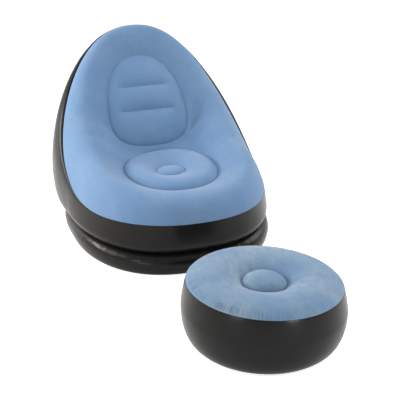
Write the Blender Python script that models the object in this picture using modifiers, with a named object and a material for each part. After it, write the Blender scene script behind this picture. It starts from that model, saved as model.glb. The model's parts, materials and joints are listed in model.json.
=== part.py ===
"""Inflatable lounge chair with an egg-shaped flocked bucket top, and its round footstool.

The chair faces -Y and stands on z = 0, with the middle of its underside at the origin.
Every wall is a thin sheet that ends just short of its weld line.
"""
import math

import bmesh
import bpy
from mathutils import Matrix, Vector
from mathutils.bvhtree import BVHTree

X = Vector((1, 0, 0))
Z = Vector((0, 0, 1))

# Sheets and their welds
FLOCKED_SHEET = 0.0010
VINYL_SHEET = 0.0005
GAP = 0.0003
VALLEY_BACKSET = 0.0002
RIDGE_BACKSET = 0.0005
WAIST_BACKSET = 0.0006
MERGE_DISTANCE = 0.00001

# Top seam of the chair: an egg in plan, low in front and high behind
SEAM_WIDTH = 0.895
SEAM_LENGTH = 1.061
SEAM_CENTRE_Y = 0.046
SEAM_POWER = 2.263
SEAM_TAPER = -0.065
SEAM_FRONT_HEIGHT = 0.233
SEAM_BACK_HEIGHT = 0.844
SEAM_RISE_SHARES = (-0.09, -0.30, 1.39)

# Waist, where the two tiers and the partition are welded together
WAIST_WIDTH = 0.897
WAIST_LENGTH = 0.954
WAIST_POWER = 2.593
WAIST_TAPER = -0.115
WAIST_HEIGHT = 0.091
WAIST_GROOVE = 0.038

# Side walls
UPPER_ROLL_HEIGHT = 0.050
UPPER_BULGE_BACK = 0.156
UPPER_BULGE_SPREAD = 2.896
UPPER_BULGE_POWER = 0.491
UPPER_BULGE_SKEW_FRONT = 0.60
UPPER_BULGE_SKEW_BACK = 0.893
BASE_BULGE = 0.009
BASE_INSET = 0.010
UPPER_ROWS = 9
UPPER_ROW_POWER = 1.8
BASE_ROWS = 6

# Roll between the top seam and the pads
ROLL_SHARES = (0.634, 0.951, 0.350)
ROLL_LEANS = (0.147, 0.427, 1.336)
DISH_SHARE = 0.32
DISH_SLOPE = 0.45
THROAT_TURN_SHARE = 0.3
PANEL_ROWS = 8

# Seat pad: an oval with a dimple that a button closes
SEAT_HALF_WIDTH = 0.206
SEAT_HALF_LENGTH = 0.245
SEAT_POWER = 2.130
SEAT_CENTRE_Y = -0.046
SEAT_WELD_HEIGHT = 0.306
SEAT_CROWN = 0.031
SEAT_CROWN_POWERS = (1.15, 0.75, 0.85)
SEAT_CROWN_SKEW = 0.7
SEAT_SAG_SHARE = 0.75
SEAT_SAG_ANGLE = -2.45
SEAT_SAG_SPREAD = 0.75
SEAT_TILT = 0.006
SEAT_TILT_ANGLE = 0.15
SEAT_ROWS = 7
DIMPLE_RADIUS = 0.066
DIMPLE_DEPTH = 0.005
SEAT_BUTTON_CROWN = 0.020
BUTTON_ROWS = 4

# Back pad: an egg with three channels, leaning back
BACK_HALF_WIDTH = 0.187
BACK_HALF_LENGTH = 0.231
BACK_POWER = 2.619
BACK_TAPER = 0.232
BACK_CENTRE_Y = 0.356
BACK_CENTRE_HEIGHT = 0.524
BACK_TILT = math.radians(54.4)
BACK_CROWN = 0.038
BACK_CROWN_POWER = 2.6
BACK_EDGE_POWERS = (0.5, 0.8)
BACK_COLUMNS = 10
BACK_ROW_STEP = 0.026
GROOVE_DEPTH = 0.024
GROOVE_SHOULDER = 0.030
GROOVE_END_POWER = 4
LOWER_GROOVE = -0.057
LOWER_GROOVE_HALF = 0.148
UPPER_GROOVE = 0.067
UPPER_GROOVE_HALF = 0.138

# Stations round the chair, as plan angles from the front
SEAT_STATIONS = 9
THROAT_STATIONS = 2
BACK_STATIONS = 9
THROAT_ARC_STEPS = 4
SEAT_END_ANGLE = 1.70
THROAT_END_ANGLE = 1.90
SEAT_CORNER_ANGLE = 2.368
BACK_CORNER_ANGLE = 0.75
THROAT_CROWN = 0.006

# Inner sheets, tubes and webs
CUT_OVERRUN = 0.002
LINER_MARGIN = 0.006
BREATHER_RADIUS = 0.020
BREATHER_PLACE_X = 0.240
BREATHER_PLACE_Y = 0.250
BACK_TIE_RADIUS = 0.045
WEB_HALF_SHARE = 0.7
TUBE_SIDES = 26

# Footstool
STOOL_PLACE_X = 0.058
STOOL_PLACE_Y = -0.993
STOOL_SEAM_RADIUS = 0.287
STOOL_SEAM_HEIGHT = 0.218
STOOL_WIDEST_RADIUS = 0.306
STOOL_WIDEST_HEIGHT = 0.125
STOOL_FOOT_RADIUS = 0.258
STOOL_UPPER_POWER = 1.201
STOOL_LOWER_POWER = 2.130
STOOL_LEAN_X = -0.045
STOOL_LEAN_Y = -0.019
STOOL_WALL_SHARES = (1, 0.88, 0.76, 0.44, 0.26, 0.12, 0.04, 0.01)
STOOL_ROLL_RISE = 0.052
STOOL_ROLL_LEAN = 0.040
STOOL_WELL_REACH = 0.022
STOOL_WELL_RISE = 0.052
STOOL_TOP_ROWS = 10
STOOL_DIMPLE_RADIUS = 0.083
STOOL_DIMPLE_HEIGHT = 0.207
STOOL_BUTTON_CROWN = 0.040
STOOL_SIDES = 32

# Air valve, alike on the chair and on the footstool; heights are above the wall's face
FLANGE_RADIUS = 0.026
FLANGE_THICKNESS = 0.0012
FLANGE_CLEARANCE = 0.0009
NECK_RADIUS = 0.0170
NECK_BORE = 0.0155
NECK_DEPTH = 0.014
NECK_LIP = 0.0020
PLUG_RIM_RADIUS = 0.0195
PLUG_RIM_THICKNESS = 0.0020
PLUG_RADIUS = 0.0152
PLUG_BORE = 0.0100
PLUG_DEPTH = 0.016
TONGUE_LENGTH = 0.0035
TONGUE_WIDTH = 0.0070
CAP_RADIUS = 0.0135
CAP_THICKNESS = 0.0025
STUB_TOP_RADIUS = 0.0097
STUB_END_RADIUS = 0.0094
STUB_DEPTH = 0.0032
STRAP_WIDTH = 0.0060
STRAP_THICKNESS = 0.0012
HINGE_PLACE = 0.0205
FLAP_RADIUS = 0.0122
FLAP_THICKNESS = 0.0008
VALVE_SIDES = 24
VALVE_HOLE_CLEARANCE = 0.0003
VALVE_STATION = 18
VALVE_ROW = 3
STOOL_VALVE_SIDE = 8
STOOL_VALVE_ROW = 5

# Colours as linear values
FLOCK_BLUE = (0.168, 0.279, 0.489)
VINYL_BLACK = (0.028, 0.028, 0.029)
INNER_GREY = (0.30, 0.31, 0.32)
VALVE_GREY = (0.09, 0.09, 0.095)
FLOCK_ROUGHNESS = 0.95
VINYL_ROUGHNESS = 0.4
VALVE_ROUGHNESS = 0.5
SHARP_ANGLE = math.radians(50)
ANGLE_STEP = math.radians(1)

FLOCK = {"colour": FLOCK_BLUE, "roughness": FLOCK_ROUGHNESS}
VINYL = {"colour": VINYL_BLACK, "roughness": VINYL_ROUGHNESS}
INNER = {"colour": INNER_GREY, "roughness": VINYL_ROUGHNESS}

PAD_ALONG = Vector((0, math.cos(BACK_TILT), math.sin(BACK_TILT)))
PAD_NORMAL = Vector((0, -math.sin(BACK_TILT), math.cos(BACK_TILT)))
PAD_CENTRE = Vector((0, BACK_CENTRE_Y, BACK_CENTRE_HEIGHT))


def clear_scene():
    for old in list(bpy.data.objects):
        bpy.data.objects.remove(old, do_unlink=True)


def new_collection(name):
    collection = bpy.data.collections.new(name)
    bpy.context.scene.collection.children.link(collection)
    return collection


def own_material(name, colour, roughness):
    material = bpy.data.materials.new(name)
    material.use_nodes = True
    shader = material.node_tree.nodes["Principled BSDF"]
    shader.inputs["Base Color"].default_value = (*colour, 1)
    shader.inputs["Roughness"].default_value = roughness
    shader.inputs["Metallic"].default_value = 0
    return material


def add_object(name, mesh, collection, colour=None, roughness=VINYL_ROUGHNESS, parent=None):
    item = bpy.data.objects.new(name, mesh)
    collection.objects.link(item)
    item.parent = parent
    if colour:
        mesh.materials.append(own_material(name, colour, roughness))
        mesh.shade_smooth()
        mesh.set_sharp_from_angle(angle=SHARP_ANGLE)
    return item


def add_empty(name, collection, matrix, parent=None):
    empty = bpy.data.objects.new(name, None)
    collection.objects.link(empty)
    empty.parent = parent
    empty.matrix_local = matrix
    return empty


def add_thickness(item, thickness):
    solidify = item.modifiers.new("sheet", "SOLIDIFY")
    solidify.thickness = thickness
    solidify.offset = -1
    solidify.use_even_offset = True


def add_boolean(item, other, operation):
    boolean = item.modifiers.new(other.name, "BOOLEAN")
    boolean.object = other
    boolean.operation = operation


def as_cutter(item):
    item.hide_render = True
    item.display_type = "WIRE"
    return item


def mesh_from(name, fill):
    """A mesh whose faces the function fill makes in a fresh bmesh."""
    mesh = bpy.data.meshes.new(name)
    shape = bmesh.new()
    fill(shape)
    shape.to_mesh(mesh)
    shape.free()
    return mesh


def loft(rows, closed):
    """An open surface through rows of points; points that meet are welded."""

    def fill(shape):
        grid = [[shape.verts.new(point) for point in row] for row in rows]
        count = len(grid[0]) if closed else len(grid[0]) - 1
        for lower, upper in zip(grid, grid[1:]):
            for index in range(count):
                following = (index + 1) % len(lower)
                shape.faces.new((lower[index], lower[following], upper[following], upper[index]))
        bmesh.ops.remove_doubles(shape, verts=shape.verts, dist=MERGE_DISTANCE)

    return mesh_from("loft", fill)


def flat_sheet(outline):
    """One flat face inside an outline."""

    def fill(shape):
        shape.faces.new([shape.verts.new(point) for point in outline])

    return mesh_from("flat", fill)


def turned(name, profile, sides, closed, collection, **looks):
    """A profile of (radius, height) points, turned round the local Z axis."""

    def fill(shape):
        points = [shape.verts.new((radius, 0, height)) for radius, height in profile]
        for start, end in zip(points, points[1:]):
            shape.edges.new((start, end))
        if closed:
            shape.edges.new((points[-1], points[0]))

    item = add_object(name, mesh_from(name, fill), collection, **looks)
    screw = item.modifiers.new("turn", "SCREW")
    screw.steps = sides
    screw.render_steps = sides
    screw.use_smooth_shade = True
    screw.use_merge_vertices = True
    screw.merge_threshold = MERGE_DISTANCE
    return item


def cylinder(name, radius, low, high, sides, collection, **looks):
    def fill(shape):
        bmesh.ops.create_cone(
            shape,
            cap_ends=True,
            segments=sides,
            radius1=radius,
            radius2=radius,
            depth=high - low,
            matrix=Matrix.Translation((0, 0, (low + high) / 2)),
        )

    return add_object(name, mesh_from(name, fill), collection, **looks)


def block(name, low, high, collection, **looks):
    """A box between two corners."""
    size = Vector(high) - Vector(low)
    middle = (Vector(high) + Vector(low)) / 2

    def fill(shape):
        bmesh.ops.create_cube(shape, size=1, matrix=Matrix.Translation(middle) @ Matrix.Diagonal((*size, 1)))

    return add_object(name, mesh_from(name, fill), collection, **looks)


def open_tube(name, radius, length, collection, **looks):
    """A thin tube with open ends that runs up its local Z axis from the origin."""

    def fill(shape):
        bmesh.ops.create_cone(
            shape,
            cap_ends=False,
            segments=TUBE_SIDES,
            radius1=radius,
            radius2=radius,
            depth=length,
            matrix=Matrix.Translation((0, 0, length / 2)),
        )

    item = add_object(name, mesh_from(name, fill), collection, **looks)
    add_thickness(item, VINYL_SHEET)
    return item


def signed_power(value, power):
    return math.copysign(abs(value) ** power, value)


def mirrored(point):
    return Vector((-point.x, point.y, point.z))


def whole_ring(half):
    """The full ring of a right-hand half that starts and ends on the middle plane."""
    return half + [mirrored(point) for point in reversed(half[1:-1])]


def set_back(edge, inner, distance):
    """The edge point, moved toward its inner neighbour."""
    return edge + (inner - edge).normalized() * distance


def trimmed(rows, first=0.0, last=0.0):
    """Rows of a sheet whose first and last rows stop short of their weld lines."""
    rows = [list(row) for row in rows]
    rows[0] = [set_back(a, b, first) for a, b in zip(rows[0], rows[1])]
    rows[-1] = [set_back(a, b, last) for a, b in zip(rows[-1], rows[-2])]
    return rows


def egg(angle, width, length, centre_y, power, taper):
    """A point of an egg in plan; the angle is 0 in front and pi at the back."""
    x = width / 2 * signed_power(math.sin(angle), 2 / power) * (1 + taper * math.cos(angle))
    y = centre_y - length / 2 * signed_power(math.cos(angle), 2 / power)
    return Vector((x, y, 0))


def seam_plan(angle):
    return egg(angle, SEAM_WIDTH, SEAM_LENGTH, SEAM_CENTRE_Y, SEAM_POWER, SEAM_TAPER)


def waist_plan(angle):
    return egg(angle, WAIST_WIDTH, WAIST_LENGTH, 0, WAIST_POWER, WAIST_TAPER)


def seam_point(angle):
    point = seam_plan(angle)
    share = (point.y - SEAM_CENTRE_Y) / SEAM_LENGTH + 1 / 2
    rise = sum(part * share ** (order + 1) for order, part in enumerate(SEAM_RISE_SHARES))
    point.z = SEAM_FRONT_HEIGHT + (SEAM_BACK_HEIGHT - SEAM_FRONT_HEIGHT) * rise
    return point


def outward(plan, angle):
    """The level direction that points out of a plan outline."""
    along = plan(angle + ANGLE_STEP) - plan(angle - ANGLE_STEP)
    return Vector((along.y, -along.x, 0)).normalized()


def smooth_step(share):
    share = min(1, max(0, share))
    return share * share * (3 - 2 * share)


def back_share(angle):
    return (1 - math.cos(angle)) / 2


def round_the_chair(angle, values):
    """A value given in front, at the sides and at the back, blended between them."""
    front, side, back = values
    turn = math.cos(angle)
    return front * turn * (turn + 1) / 2 + side * (1 - turn**2) + back * turn * (turn - 1) / 2


def upper_wall_point(angle, share):
    """A point of the upper wall; the share runs from the waist to the top seam."""
    low = waist_plan(angle) + Z * WAIST_HEIGHT
    skew = UPPER_BULGE_SKEW_FRONT + (UPPER_BULGE_SKEW_BACK - UPPER_BULGE_SKEW_FRONT) * back_share(angle)
    bulge = UPPER_BULGE_BACK * back_share(angle) ** UPPER_BULGE_SPREAD
    bulge *= max(0, math.sin(math.pi * share**skew)) ** UPPER_BULGE_POWER
    chord = low.lerp(seam_point(angle), share)
    under = min(1, max(0, 1 - (chord.z - WAIST_HEIGHT) / UPPER_ROLL_HEIGHT))
    inset = WAIST_GROOVE * (1 - math.sqrt(1 - under**2))
    return chord + outward(seam_plan, angle) * bulge - outward(waist_plan, angle) * inset


def base_wall_point(angle, share):
    """A point of the lower wall; the share runs from the floor to the waist."""
    turn = math.pi * (share - 1 / 2)
    inset = BASE_INSET if turn < 0 else WAIST_GROOVE
    out = (BASE_BULGE + inset) * math.cos(turn) - inset
    return waist_plan(angle) + outward(waist_plan, angle) * out + Z * WAIST_HEIGHT * (1 + math.sin(turn)) / 2


def seat_weld(angle):
    """A point of the seat pad's outline, from its front round to its rear."""
    outline = egg(angle, 2 * SEAT_HALF_WIDTH, 2 * SEAT_HALF_LENGTH, SEAT_CENTRE_Y, SEAT_POWER, 0)
    return outline + Z * SEAT_WELD_HEIGHT


def back_plan(angle):
    """The back pad's outline flat: its width along x, its length along y, from its foot up."""
    return egg(angle, 2 * BACK_HALF_WIDTH, 2 * BACK_HALF_LENGTH, 0, BACK_POWER, BACK_TAPER)


def on_pad_plane(flat, height=0):
    return PAD_CENTRE + X * flat.x + PAD_ALONG * flat.y + PAD_NORMAL * height


def back_weld(angle):
    return on_pad_plane(back_plan(angle))


def seat_direction(angle):
    """Where the roll comes down to the seat pad's weld from."""
    away = outward(seat_weld, angle)
    away.y *= THROAT_TURN_SHARE if away.y > 0 else 1
    return (away.normalized() + Z * DISH_SLOPE).normalized()


def back_direction(angle):
    flat = outward(back_plan, angle)
    flat.y *= THROAT_TURN_SHARE if flat.y < 0 else 1
    flat.normalize()
    return (X * flat.x + PAD_ALONG * flat.y + PAD_NORMAL * DISH_SLOPE).normalized()


def throat_point(share, seat_angle, back_angle):
    """A point of the strip between the pads, on a curve from the seat pad to the back pad."""
    low = seat_weld(seat_angle)
    high = back_weld(back_angle)
    bend = high - PAD_ALONG * ((high.z - low.z) / PAD_ALONG.z)
    curve = low.lerp(bend, share).lerp(bend.lerp(high, share), share)
    return curve + (Z + PAD_NORMAL).normalized() * THROAT_CROWN * 4 * share * (1 - share)


def spread(first, last, steps):
    return [first + (last - first) * step / steps for step in range(steps + 1)]


def stations():
    """Seam angle, weld point and weld direction of each section of the roll's right half."""
    found = []
    seam_angles = spread(0, SEAT_END_ANGLE, SEAT_STATIONS)
    for seam_angle, angle in zip(seam_angles, spread(0, SEAT_CORNER_ANGLE, SEAT_STATIONS)):
        found.append((seam_angle, seat_weld(angle), seat_direction(angle)))
    side = (X + (Z + PAD_NORMAL) * DISH_SLOPE / 2).normalized()
    seam_angles = spread(SEAT_END_ANGLE, THROAT_END_ANGLE, THROAT_STATIONS)
    for seam_angle, share in list(zip(seam_angles, spread(0, 1, THROAT_STATIONS)))[1:-1]:
        found.append((seam_angle, throat_point(share, SEAT_CORNER_ANGLE, BACK_CORNER_ANGLE), side))
    seam_angles = spread(THROAT_END_ANGLE, math.pi, BACK_STATIONS)
    for seam_angle, angle in zip(seam_angles, spread(BACK_CORNER_ANGLE, math.pi, BACK_STATIONS)):
        found.append((seam_angle, back_weld(angle), back_direction(angle)))
    return found


def roll_point(station, share):
    """A point of the roll's section at a station, from the seam to the weld."""
    seam_angle, weld, direction = station
    seam = seam_point(seam_angle)
    reach = (weld - seam).length
    start = (Z - outward(seam_plan, seam_angle) * round_the_chair(seam_angle, ROLL_LEANS)).normalized()
    start *= reach * round_the_chair(seam_angle, ROLL_SHARES)
    points = [seam, seam + start, weld + direction * reach * DISH_SHARE, weld]
    while len(points) > 1:
        points = [a.lerp(b, share) for a, b in zip(points, points[1:])]
    return points[0]


STATIONS = stations()
SEAM_ANGLES = [station[0] for station in STATIONS]


def seat_rim():
    """The seat pad's outline at the same points as the roll and the throat."""
    rear = spread(SEAT_CORNER_ANGLE, math.pi, THROAT_ARC_STEPS)
    angles = spread(0, SEAT_CORNER_ANGLE, SEAT_STATIONS) + rear[1:]
    return [seat_weld(angle) for angle in angles]


def back_rim_plan():
    low = spread(0, BACK_CORNER_ANGLE, THROAT_ARC_STEPS)
    return [back_plan(angle) for angle in low + spread(BACK_CORNER_ANGLE, math.pi, BACK_STATIONS)[1:]]


def make_top_panel(parts):
    roll = []
    for share in spread(0, 1, PANEL_ROWS):
        roll.append(whole_ring([roll_point(station, share) for station in STATIONS]))
    seat_angles = spread(SEAT_CORNER_ANGLE, math.pi, THROAT_ARC_STEPS)
    back_angles = spread(BACK_CORNER_ANGLE, 0, THROAT_ARC_STEPS)
    throat = []
    for share in spread(0, 1, THROAT_STATIONS):
        half = [throat_point(share, low, high) for low, high in zip(seat_angles, back_angles)]
        throat.append([mirrored(point) for point in half] + list(reversed(half[:-1])))
    mesh = loft(roll, closed=True)
    patch = loft(throat, closed=False)
    joined = bmesh.new()
    joined.from_mesh(mesh)
    joined.from_mesh(patch)
    bmesh.ops.remove_doubles(joined, verts=joined.verts, dist=MERGE_DISTANCE)
    for vert in joined.verts:
        if vert.is_boundary:
            set_rim_back(vert)
    joined.to_mesh(mesh)
    joined.free()
    bpy.data.meshes.remove(patch)
    panel = add_object("top_panel", mesh, parts, **FLOCK)
    add_thickness(panel, FLOCKED_SHEET)


def set_rim_back(vert):
    """Moves a rim point of the top panel back from its weld, toward its inner neighbours."""
    inner = [edge.other_vert(vert) for edge in vert.link_edges if not edge.is_boundary]
    if inner:
        toward = sum((other.co for other in inner), Vector()) / len(inner)
        vert.co = set_back(vert.co, toward, RIDGE_BACKSET)


def dimple_tilt(flat):
    """How far the dimple's ring is lifted in a level direction from its middle."""
    return SEAT_TILT * math.cos(math.atan2(flat.x, -flat.y) - SEAT_TILT_ANGLE)


def seat_pad_point(rim, centre, share):
    """A point of the seat pad, from its rim in to the ring of the dimple."""
    flat = rim - centre
    inner = centre + flat.normalized() * DIMPLE_RADIUS
    turn = math.atan2(flat.x, -flat.y)
    power = round_the_chair(turn, SEAT_CROWN_POWERS)
    apart = abs((turn - SEAT_SAG_ANGLE + math.pi) % (2 * math.pi) - math.pi)
    sag = SEAT_SAG_SHARE * math.exp(-((apart / SEAT_SAG_SPREAD) ** 2))
    high = SEAT_CROWN * (1 - sag) - dimple_tilt(flat)
    crown = high * max(0, math.sin(math.pi * share**SEAT_CROWN_SKEW)) ** power
    return rim.lerp(inner, share) + Z * (crown + (dimple_tilt(flat) - DIMPLE_DEPTH) * share**2)


def make_seat(parts):
    centre = Vector((0, SEAT_CENTRE_Y, SEAT_WELD_HEIGHT))
    rim = whole_ring(seat_rim())
    rows = [[seat_pad_point(point, centre, share) for point in rim] for share in spread(0, 1, SEAT_ROWS)]
    mesh = loft(trimmed(rows, VALLEY_BACKSET, VALLEY_BACKSET), closed=True)
    add_thickness(add_object("seat_pad", mesh, parts, **FLOCK), FLOCKED_SHEET)
    ring = rows[-1]
    top = centre - Z * DIMPLE_DEPTH
    dome = []
    for share in spread(0, 1, BUTTON_ROWS):
        height = SEAT_BUTTON_CROWN * math.sqrt(1 - (1 - share) ** 2)
        dome.append([point.lerp(top, share) + Z * height for point in ring])
    mesh = loft(trimmed(dome, VALLEY_BACKSET), closed=True)
    add_thickness(add_object("seat_button", mesh, parts, **FLOCK), FLOCKED_SHEET)


def pad_height(x, y, half_width):
    """How far the back pad stands out of its weld's plane."""
    across = max(0, 1 - abs(x / half_width) ** BACK_CROWN_POWER) if half_width else 0
    along = max(0, 1 - abs(y / BACK_HALF_LENGTH) ** BACK_CROWN_POWER)
    foot, top = BACK_EDGE_POWERS
    power = foot + (top - foot) * smooth_step(y / BACK_HALF_LENGTH + 1)
    height = BACK_CROWN * (across * along) ** power
    for place, half in ((LOWER_GROOVE, LOWER_GROOVE_HALF), (UPPER_GROOVE, UPPER_GROOVE_HALF)):
        fade = max(0, 1 - abs(x / half) ** GROOVE_END_POWER)
        height -= GROOVE_DEPTH * fade * math.exp(-abs(y - place) / GROOVE_SHOULDER)
    return max(height, 0)


def rim_half_width(rim, y):
    for low, high in zip(rim, rim[1:]):
        if low.y <= y <= high.y and high.y > low.y:
            return low.x + (high.x - low.x) * (y - low.y) / (high.y - low.y)
    return 0


def make_back_pad(parts):
    rim = back_rim_plan()
    levels = {point.y for point in rim}
    for place in (LOWER_GROOVE, UPPER_GROOVE):
        levels |= {place, place - GROOVE_SHOULDER, place + GROOVE_SHOULDER}
    levels = sorted(levels)
    filled = []
    for low, high in zip(levels, levels[1:]):
        steps = max(1, round((high - low) / BACK_ROW_STEP))
        filled += spread(low, high, steps)[:-1]
    rows = []
    for y in filled + [levels[-1]]:
        half = rim_half_width(rim, y)
        row = []
        for share in spread(-1, 1, BACK_COLUMNS):
            flat = Vector((half * math.sin(share * math.pi / 2), y, 0))
            edge = abs(share) == 1 or half == 0
            height = 0 if edge else pad_height(flat.x, y, half)
            if edge:
                flat = set_back(flat, Vector(), VALLEY_BACKSET)
            row.append(on_pad_plane(flat, height))
        rows.append(row)
    item = add_object("back_pad", loft(rows, closed=False), parts, **FLOCK)
    add_thickness(item, FLOCKED_SHEET)


def make_walls(parts, cutters):
    upper = []
    for share in spread(0, 1, UPPER_ROWS):
        share = share**UPPER_ROW_POWER
        upper.append(whole_ring([upper_wall_point(angle, share) for angle in SEAM_ANGLES]))
    facet = facet_frame(upper, VALVE_STATION, VALVE_ROW)
    mesh = loft(trimmed(upper, WAIST_BACKSET, RIDGE_BACKSET), closed=True)
    wall = add_object("upper_side_wall", mesh, parts, **VINYL)
    add_thickness(wall, VINYL_SHEET)
    hole = as_cutter(valve_hole("chair_valve_hole", facet, cutters))
    add_boolean(wall, hole, "DIFFERENCE")
    base = []
    for share in spread(0, 1, BASE_ROWS):
        base.append(whole_ring([base_wall_point(angle, share) for angle in SEAM_ANGLES]))
    mesh = loft(trimmed(base, VINYL_SHEET + GAP, WAIST_BACKSET), closed=True)
    add_thickness(add_object("base_side_wall", mesh, parts, **VINYL), VINYL_SHEET)
    mesh = flat_sheet([point + Z * VINYL_SHEET for point in base[0]])
    add_thickness(add_object("base_bottom_sheet", mesh, parts, **VINYL), VINYL_SHEET)
    partition = [Vector((*point.xy, WAIST_HEIGHT + VINYL_SHEET / 2)) for point in upper[0]]
    item = add_object("partition_sheet", flat_sheet(partition), parts, **INNER)
    add_thickness(item, VINYL_SHEET)
    for side in (-1, 1):
        for end in (-1, 1):
            name = f"breather_{side}_{end}"
            low = WAIST_HEIGHT - VINYL_SHEET - CUT_OVERRUN
            high = WAIST_HEIGHT + VINYL_SHEET + CUT_OVERRUN
            hole = as_cutter(cylinder(name, BREATHER_RADIUS, low, high, VALVE_SIDES, cutters))
            hole.location = (side * BREATHER_PLACE_X, end * BREATHER_PLACE_Y, 0)
            add_boolean(item, hole, "DIFFERENCE")
    return wall, facet


def facet_frame(rings, index, row):
    """Frame on the middle of a wall's flat face: Z points out, X points down the wall."""
    corners = [rings[row][index], rings[row][index + 1], rings[row + 1][index + 1], rings[row + 1][index]]
    middle = sum(corners, Vector()) / len(corners)
    normal = (corners[2] - corners[0]).cross(corners[3] - corners[1]).normalized()
    down = (normal * normal.z - Z).normalized()
    turn = Matrix((down, normal.cross(down), normal)).transposed().to_4x4()
    return Matrix.Translation(middle) @ turn


def valve_hole(name, frame, cutters, parent=None):
    reach = NECK_RADIUS
    hole = cylinder(name, NECK_RADIUS + VALVE_HOLE_CLEARANCE, -reach, reach, VALVE_SIDES, cutters)
    hole.parent = parent
    hole.matrix_local = frame
    return hole


def make_valve(prefix, frame, parts, cutters, parent=None):
    """Seat, plug, flap and cap of an air valve, on a wall's face."""
    axis = add_empty(prefix + "valve_axis", parts, frame, parent)
    looks = {"colour": VALVE_GREY, "roughness": VALVE_ROUGHNESS, "parent": axis}
    flange_low = FLANGE_CLEARANCE
    flange_high = flange_low + FLANGE_THICKNESS
    lip = flange_high + NECK_LIP
    seat = [
        (NECK_BORE, lip),
        (NECK_RADIUS, lip),
        (NECK_RADIUS, flange_high),
        (FLANGE_RADIUS, flange_high),
        (FLANGE_RADIUS, flange_low),
        (NECK_RADIUS, flange_low),
        (NECK_RADIUS, -NECK_DEPTH),
        (NECK_BORE, -NECK_DEPTH),
    ]
    turned(prefix + "valve_seat", seat, VALVE_SIDES, True, parts, **looks)
    rim_low = lip + GAP
    rim_high = rim_low + PLUG_RIM_THICKNESS
    plug = [
        (PLUG_BORE, rim_high),
        (PLUG_RIM_RADIUS, rim_high),
        (PLUG_RIM_RADIUS, rim_low),
        (PLUG_RADIUS, rim_low),
        (PLUG_RADIUS, -PLUG_DEPTH),
        (PLUG_BORE, -PLUG_DEPTH),
    ]
    plug = turned(prefix + "valve_plug", plug, VALVE_SIDES, True, parts, **looks)
    low = (PLUG_RADIUS, -TONGUE_WIDTH / 2, rim_low)
    high = (PLUG_RIM_RADIUS + TONGUE_LENGTH, TONGUE_WIDTH / 2, rim_high)
    tongue = as_cutter(block(prefix + "tongue", low, high, cutters, parent=axis))
    add_boolean(plug, tongue, "UNION")
    make_flap(prefix, parts, looks)
    make_cap(prefix, rim_high, parts, cutters, looks)


def turn_beside_hinge(item, reach, parts):
    """Turns a disc's profile about a middle that lies a reach beside its own hinge."""
    middle = Matrix.Translation((-reach, 0, 0))
    item.data.transform(middle)
    item.modifiers["turn"].object = add_empty(item.name + "_middle", parts, middle, item)


def make_flap(prefix, parts, looks):
    """The one-way flap under the plug, hinged at its edge."""
    flap_high = -PLUG_DEPTH - GAP
    profile = [
        (0, flap_high),
        (FLAP_RADIUS, flap_high),
        (FLAP_RADIUS, flap_high - FLAP_THICKNESS),
        (0, flap_high - FLAP_THICKNESS),
    ]
    hinge = Vector((FLAP_RADIUS, 0, flap_high - FLAP_THICKNESS / 2))
    profile = [(radius, height - hinge.z) for radius, height in profile]
    flap = turned(prefix + "valve_flap", profile, VALVE_SIDES, False, parts, **looks)
    flap.location = hinge
    turn_beside_hinge(flap, FLAP_RADIUS, parts)


def make_cap(prefix, rim_high, parts, cutters, looks):
    """The cap with its stub, on a strap that bends at the end of the plug's tongue."""
    cap_low = rim_high + GAP
    hinge = Vector((HINGE_PLACE, 0, cap_low + STRAP_THICKNESS / 2))
    profile = [
        (0, cap_low + CAP_THICKNESS),
        (CAP_RADIUS, cap_low + CAP_THICKNESS),
        (CAP_RADIUS, cap_low),
        (STUB_TOP_RADIUS, cap_low),
        (STUB_END_RADIUS, cap_low - STUB_DEPTH),
        (0, cap_low - STUB_DEPTH),
    ]
    profile = [(radius, height - hinge.z) for radius, height in profile]
    cap = turned(prefix + "valve_cap", profile, VALVE_SIDES, False, parts, **looks)
    cap.location = hinge
    turn_beside_hinge(cap, HINGE_PLACE, parts)
    half = STRAP_THICKNESS / 2
    low = (-HINGE_PLACE + STUB_TOP_RADIUS, -STRAP_WIDTH / 2, -half)
    strap = as_cutter(block(prefix + "strap", low, (half, STRAP_WIDTH / 2, half), cutters, parent=cap))
    add_boolean(cap, strap, "UNION")


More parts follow.
